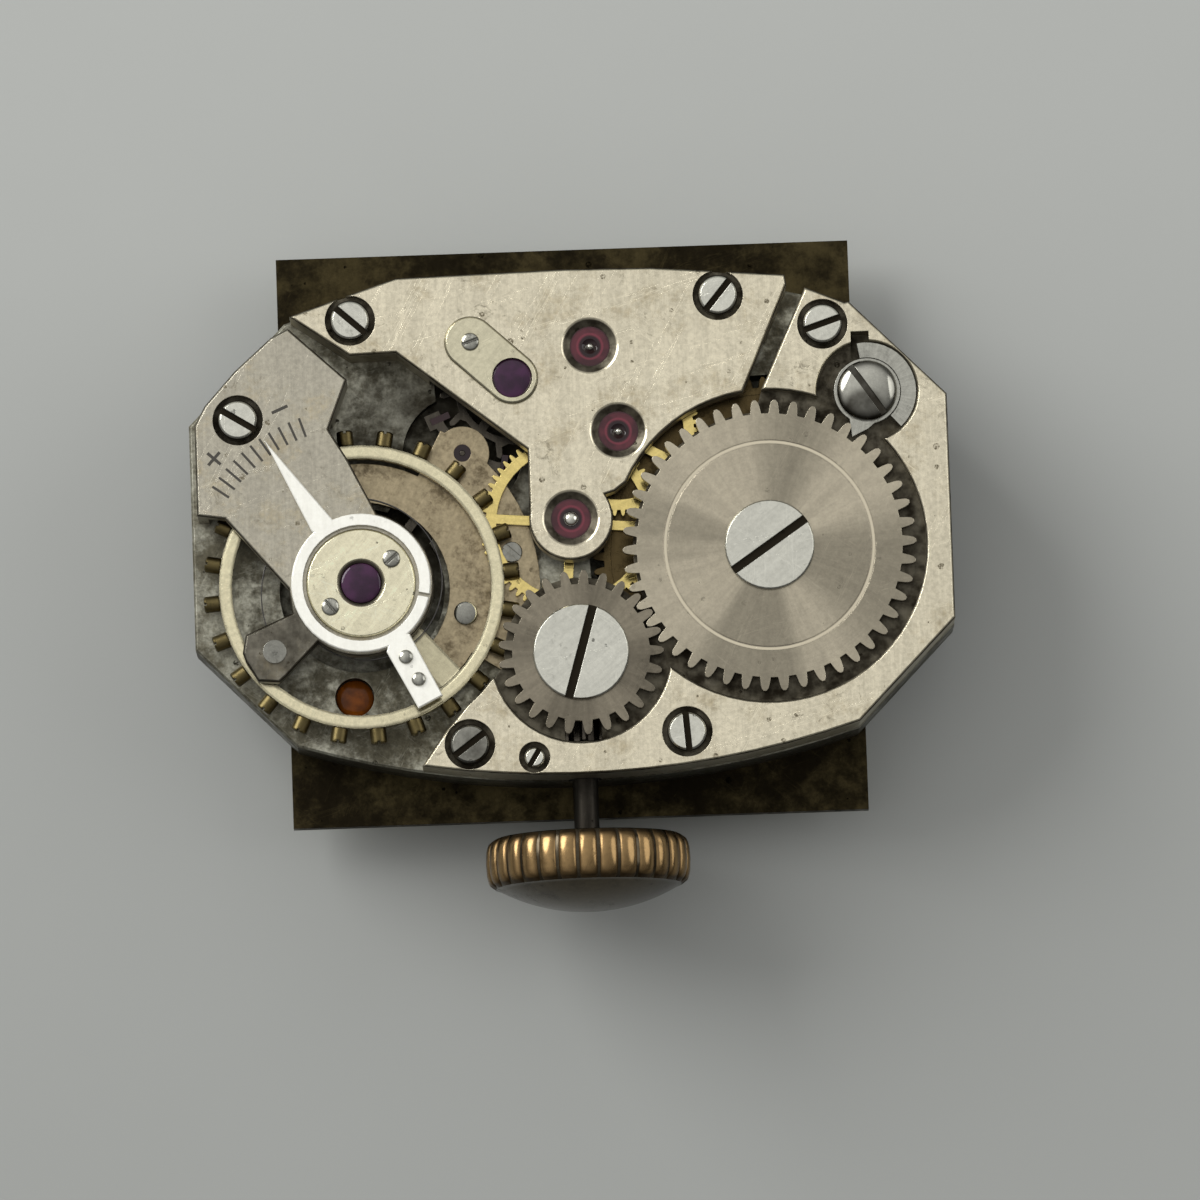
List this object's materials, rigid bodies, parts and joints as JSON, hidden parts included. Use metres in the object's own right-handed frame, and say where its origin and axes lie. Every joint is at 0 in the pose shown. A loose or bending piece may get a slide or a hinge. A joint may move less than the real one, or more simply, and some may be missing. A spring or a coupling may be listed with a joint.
{
  "type": "mechanical watch movement",
  "caption": "Small tonneau mechanical watch movement with bridges, going train, lever escapement, screwed balance, winding work and crown.",
  "frame": {"origin": "on the axis of the hands, on the front face of the dial", "axes": "+Z out of the back of the movement towards the bridges, crown to -Y, long side along X"},
  "size_m": [0.0174, 0.0155, 0.0055],
  "materials": {
    "nickel_plate": "fine vertical grain, worn satin",
    "aged_nickel": "brown tarnished satin",
    "dial_brass": "dark tarnished",
    "yellow_brass": "polished",
    "gilt": "satin gilt",
    "pale_gold": "polished",
    "polished_steel": "polished",
    "sunray_steel": "circular brushed",
    "spring_steel": "polished",
    "rose_gold": "polished",
    "ruby": "polished"
  },
  "bodies": {
    "root": {"main_plate": "nickel_plate", "barrel_bridge": "nickel_plate", "train_bridge": "nickel_plate", "balance_cock": "nickel_plate", "pallet_bridge": "aged_nickel", "dial": "dial_brass", "hairspring": "spring_steel", "hairspring_stud": "polished_steel", "end_piece_plate": "pale_gold", "escape_cap_plate": "gilt", "cap_jewels": "ruby", "cap_screws": "polished_steel", "crown_wheel_seat": "polished_steel", "crown_wheel_screw": "polished_steel", "click_screw": "polished_steel", "click_spring": "spring_steel", "setting_lever_screw": "polished_steel", "setting_lever_spring": "polished_steel", "small_plate_screws": "polished_steel", "upper_jewels": "ruby", "lower_jewels": "ruby", "bridge_screws": "polished_steel", "steady_pins": "polished_steel"},
    "barrel": {"barrel_drum": "yellow_brass", "barrel_cover": "yellow_brass", "mainspring": "spring_steel"},
    "barrel_arbor": {"barrel_arbor": "polished_steel", "ratchet_wheel": "sunray_steel", "ratchet_screw": "polished_steel"},
    "centre_wheel": {"centre_wheel": "yellow_brass", "centre_pinion": "polished_steel"},
    "third_wheel": {"third_wheel": "yellow_brass", "third_pinion": "polished_steel"},
    "fourth_wheel": {"fourth_wheel": "yellow_brass", "fourth_pinion": "polished_steel"},
    "escape_wheel": {"escape_wheel": "polished_steel", "escape_pinion": "polished_steel"},
    "pallets": {"pallet_fork": "polished_steel", "pallet_staff": "polished_steel", "pallet_stones": "ruby"},
    "balance": {"balance_wheel": "pale_gold", "balance_rim_screws": "pale_gold", "balance_staff": "polished_steel", "roller": "polished_steel", "impulse_jewel": "ruby", "hairspring_collet": "yellow_brass"},
    "regulator": {"regulator": "polished_steel", "curb_pins": "polished_steel"},
    "click": {"click": "polished_steel"},
    "crown_wheel": {"crown_wheel": "sunray_steel"},
    "winding_pinion": {"winding_pinion": "polished_steel"},
    "stem": {"winding_stem": "polished_steel", "crown": "rose_gold"},
    "sliding_pinion": {"sliding_pinion": "polished_steel"},
    "setting_lever": {"setting_lever": "polished_steel"},
    "yoke": {"yoke": "polished_steel"},
    "cannon_pinion": {"cannon_pinion": "polished_steel"},
    "hour_wheel": {"hour_wheel": "yellow_brass"},
    "minute_wheel": {"minute_wheel": "yellow_brass"},
    "setting_wheel": {"setting_wheel": "polished_steel"}
  },
  "joints": [
    {"name": "escape_turn", "type": "hinge", "parent": "root", "child": "escape_wheel", "pos_m": [-0.00124, 0.00328, 0], "axis": [0, 0, 1], "continuous": true},
    {"name": "fourth_turn", "type": "hinge", "parent": "root", "child": "fourth_wheel", "pos_m": [0.00057, 0.00398, 0], "axis": [0, 0, 1], "continuous": true},
    {"name": "third_turn", "type": "hinge", "parent": "root", "child": "third_wheel", "pos_m": [0.00115, 0.00199, 0], "axis": [0, 0, 1], "continuous": true},
    {"name": "centre_turn", "type": "hinge", "parent": "root", "child": "centre_wheel", "pos_m": [0, 0, 0], "axis": [0, 0, 1], "continuous": true},
    {"name": "barrel_turn", "type": "hinge", "parent": "root", "child": "barrel", "pos_m": [0.00453, -0.00078, 0], "axis": [0, 0, 1], "continuous": true},
    {"name": "hands_turn", "type": "hinge", "parent": "root", "child": "cannon_pinion", "pos_m": [0, 0, 0], "axis": [0, 0, 1], "continuous": true},
    {"name": "minute_turn", "type": "hinge", "parent": "root", "child": "minute_wheel", "pos_m": [-0.00158, -0.00158, 0], "axis": [0, 0, 1], "continuous": true},
    {"name": "hour_turn", "type": "hinge", "parent": "root", "child": "hour_wheel", "pos_m": [0, 0, 0], "axis": [0, 0, 1], "continuous": true},
    {"name": "setting_turn", "type": "hinge", "parent": "root", "child": "setting_wheel", "pos_m": [0.00012, -0.00318, 0], "axis": [0, 0, 1], "continuous": true},
    {"name": "crown_turn", "type": "hinge", "parent": "root", "child": "winding_pinion", "pos_m": [0.00012, -0.0048, 0.0019], "axis": [0, -1, 0], "continuous": true},
    {"name": "crown_pull", "type": "slide", "parent": "winding_pinion", "child": "stem", "axis": [0, -1, 0], "range_m": [0, 0.0004]},
    {"name": "sliding_pinion_shift", "type": "slide", "parent": "winding_pinion", "child": "sliding_pinion", "axis": [0, 1, 0], "range_m": [0, 0.00038]},
    {"name": "setting_lever_swing", "type": "hinge", "parent": "root", "child": "setting_lever", "pos_m": [-0.00102, -0.00548, 0], "axis": [0, 0, -1], "range_deg": [0, 19.9]},
    {"name": "yoke_swing", "type": "hinge", "parent": "root", "child": "yoke", "pos_m": [-0.0019, -0.00393, 0], "axis": [0, 0, 1], "range_deg": [0, 10.8]},
    {"name": "crown_wheel_turn", "type": "hinge", "parent": "root", "child": "crown_wheel", "pos_m": [0.00012, -0.0031, 0], "axis": [0, 0, 1], "continuous": true},
    {"name": "ratchet_turn", "type": "hinge", "parent": "root", "child": "barrel_arbor", "pos_m": [0.00453, -0.00078, 0], "axis": [0, 0, 1], "continuous": true},
    {"name": "balance_swing", "type": "hinge", "parent": "root", "child": "balance", "pos_m": [-0.00486, -0.00135, 0], "axis": [0, 0, 1], "range_deg": [-270, 270], "stiffness_Nm_per_rad": 0.000000066},
    {"name": "pallet_swing", "type": "hinge", "parent": "root", "child": "pallets", "pos_m": [-0.00245, 0.00173, 0], "axis": [0, 0, 1], "range_deg": [-5, 5]},
    {"name": "regulator_turn", "type": "hinge", "parent": "root", "child": "regulator", "pos_m": [-0.00486, -0.00135, 0], "axis": [0, 0, 1], "range_deg": [-10, 10]},
    {"name": "click_swing", "type": "hinge", "parent": "root", "child": "click", "pos_m": [0.0069, 0.00271, 0], "axis": [0, 0, 1], "range_deg": [0, 15], "stiffness_Nm_per_rad": 0.0000001}
  ],
  "couplings": [
    {"joint": "fourth_turn", "follows": "escape_turn", "ratio": -0.1},
    {"joint": "third_turn", "follows": "escape_turn", "ratio": 0.013333},
    {"joint": "centre_turn", "follows": "escape_turn", "ratio": -0.0016667},
    {"joint": "barrel_turn", "follows": "escape_turn", "ratio": 0.00027778},
    {"joint": "minute_turn", "follows": "hands_turn", "ratio": -0.33333},
    {"joint": "hour_turn", "follows": "hands_turn", "ratio": 0.083333},
    {"joint": "setting_turn", "follows": "hands_turn", "ratio": 0.85714},
    {"joint": "sliding_pinion_shift", "follows": "crown_pull", "ratio": 0.95},
    {"joint": "setting_lever_swing", "follows": "crown_pull", "rad_per_m": 867.4},
    {"joint": "yoke_swing", "follows": "crown_pull", "rad_per_m": 470.8},
    {"joint": "crown_wheel_turn", "follows": "crown_turn", "ratio": -0.56},
    {"joint": "ratchet_turn", "follows": "crown_turn", "ratio": 0.30435}
  ]
}
